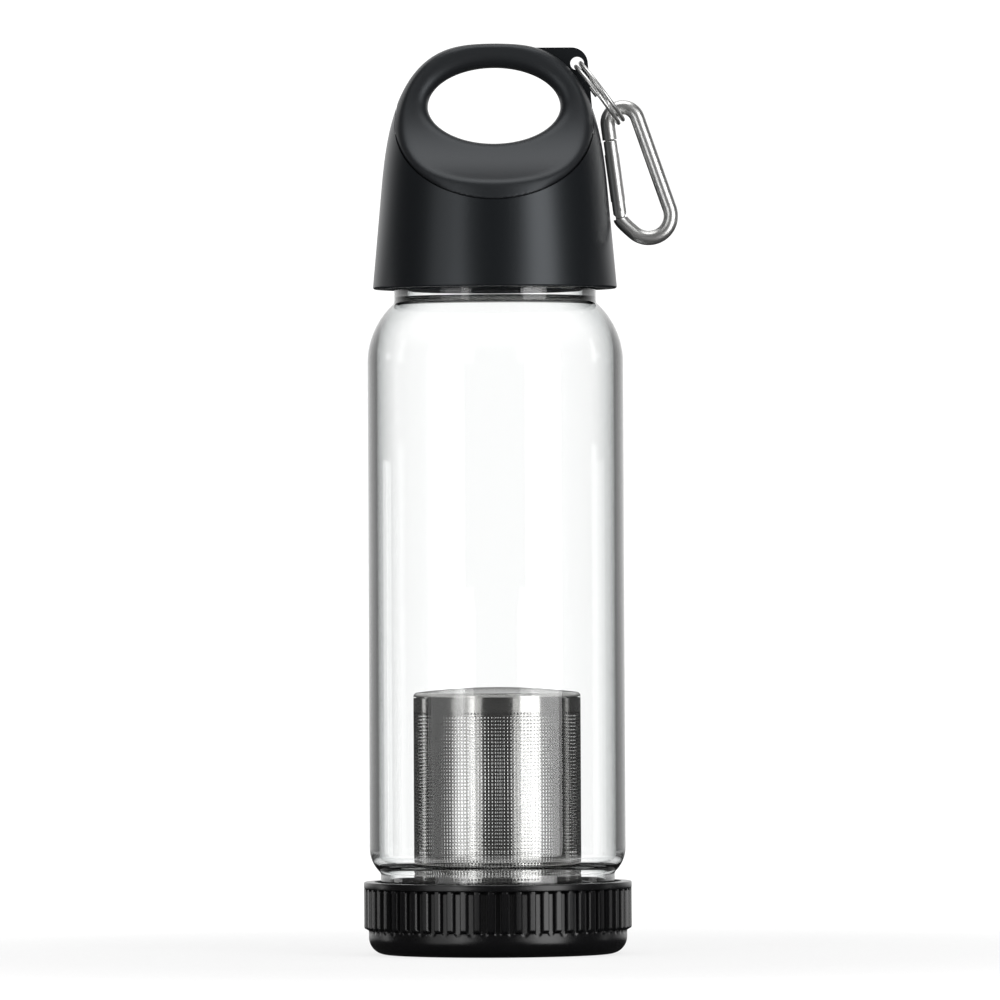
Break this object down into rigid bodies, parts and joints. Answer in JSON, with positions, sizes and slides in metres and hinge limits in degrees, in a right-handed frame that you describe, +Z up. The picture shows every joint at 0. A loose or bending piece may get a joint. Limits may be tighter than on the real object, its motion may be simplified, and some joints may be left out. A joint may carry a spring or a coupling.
{
  "type": "glass tea infuser tumbler",
  "caption": "Double-ended glass tea tumbler with a screw-on looped lid, a clip-on carabiner, a screw-on ribbed base and an upright perforated steel infuser basket.",
  "frame": {"origin": "centre of the base's flat underside, on the bottle's axis", "axes": "+Z up along the bottle's axis, -Y towards the front, +X towards the lug and carabiner"},
  "size_m": [0.0867, 0.0732, 0.2486],
  "materials": {
    "base_plastic": "glossy moulded black",
    "lid_plastic": "satin moulded black",
    "soft_grip": "soft-touch dark grey",
    "silicone": "translucent silicone",
    "glass": "clear borosilicate",
    "steel": "bright satin stainless",
    "bright_metal": "polished"
  },
  "bodies": {
    "base": {"base_cap": "base_plastic"},
    "infuser": {"infuser_collar": "lid_plastic", "infuser_sleeve": "steel", "infuser_cap": "steel"},
    "base_seal": {"base_gasket": "silicone"},
    "glass": {"glass_body": "glass"},
    "lid_seal": {"lid_gasket": "silicone"},
    "lid": {"lid_shell": "lid_plastic", "lid_grip": "soft_grip", "lid_liner": "lid_plastic"},
    "ring": {"split_ring": "bright_metal"},
    "carabiner": {"carabiner_frame": "bright_metal"},
    "gate": {"carabiner_gate": "bright_metal", "carabiner_rivet": "bright_metal", "carabiner_latch_pin": "bright_metal", "carabiner_plunger": "steel", "carabiner_spring": "steel"}
  },
  "joints": [
    {"name": "infuser_lift", "type": "slide", "parent": "base", "child": "infuser", "axis": [0, 0, 1], "range_m": [0, 0.05]},
    {"name": "glass_lift", "type": "slide", "parent": "base", "child": "base_seal", "axis": [0, 0, 1], "range_m": [0, 0.012]},
    {"name": "glass_turn", "type": "hinge", "parent": "base_seal", "child": "glass", "pos_m": [0, 0, 0.0142], "axis": [0, 0, 1], "range_deg": [0, 720]},
    {"name": "lid_lift", "type": "slide", "parent": "glass", "child": "lid_seal", "axis": [0, 0, 1], "range_m": [0, 0.0135]},
    {"name": "lid_turn", "type": "hinge", "parent": "lid_seal", "child": "lid", "pos_m": [0, 0, 0.188], "axis": [0, 0, 1], "range_deg": [0, 810]},
    {"name": "ring_swing", "type": "hinge", "parent": "lid", "child": "ring", "pos_m": [0.02278, 0, 0.24325], "axis": [0, 1, 0], "range_deg": [-120, 0]},
    {"name": "carabiner_swing", "type": "hinge", "parent": "ring", "child": "carabiner", "pos_m": [0.03466, 0, 0.22741], "axis": [0, 1, 0], "range_deg": [-60, 0]},
    {"name": "gate_open", "type": "hinge", "parent": "carabiner", "child": "gate", "pos_m": [0.03414, 0, 0.20303], "axis": [0, 1, 0], "range_deg": [0, 16], "stiffness_Nm_per_rad": 0.01, "springref_deg": -20.05}
  ],
  "couplings": [
    {"joint": "glass_lift", "follows": "glass_turn", "m_per_rad": 0.0009549},
    {"joint": "lid_lift", "follows": "lid_turn", "m_per_rad": 0.0009549}
  ]
}
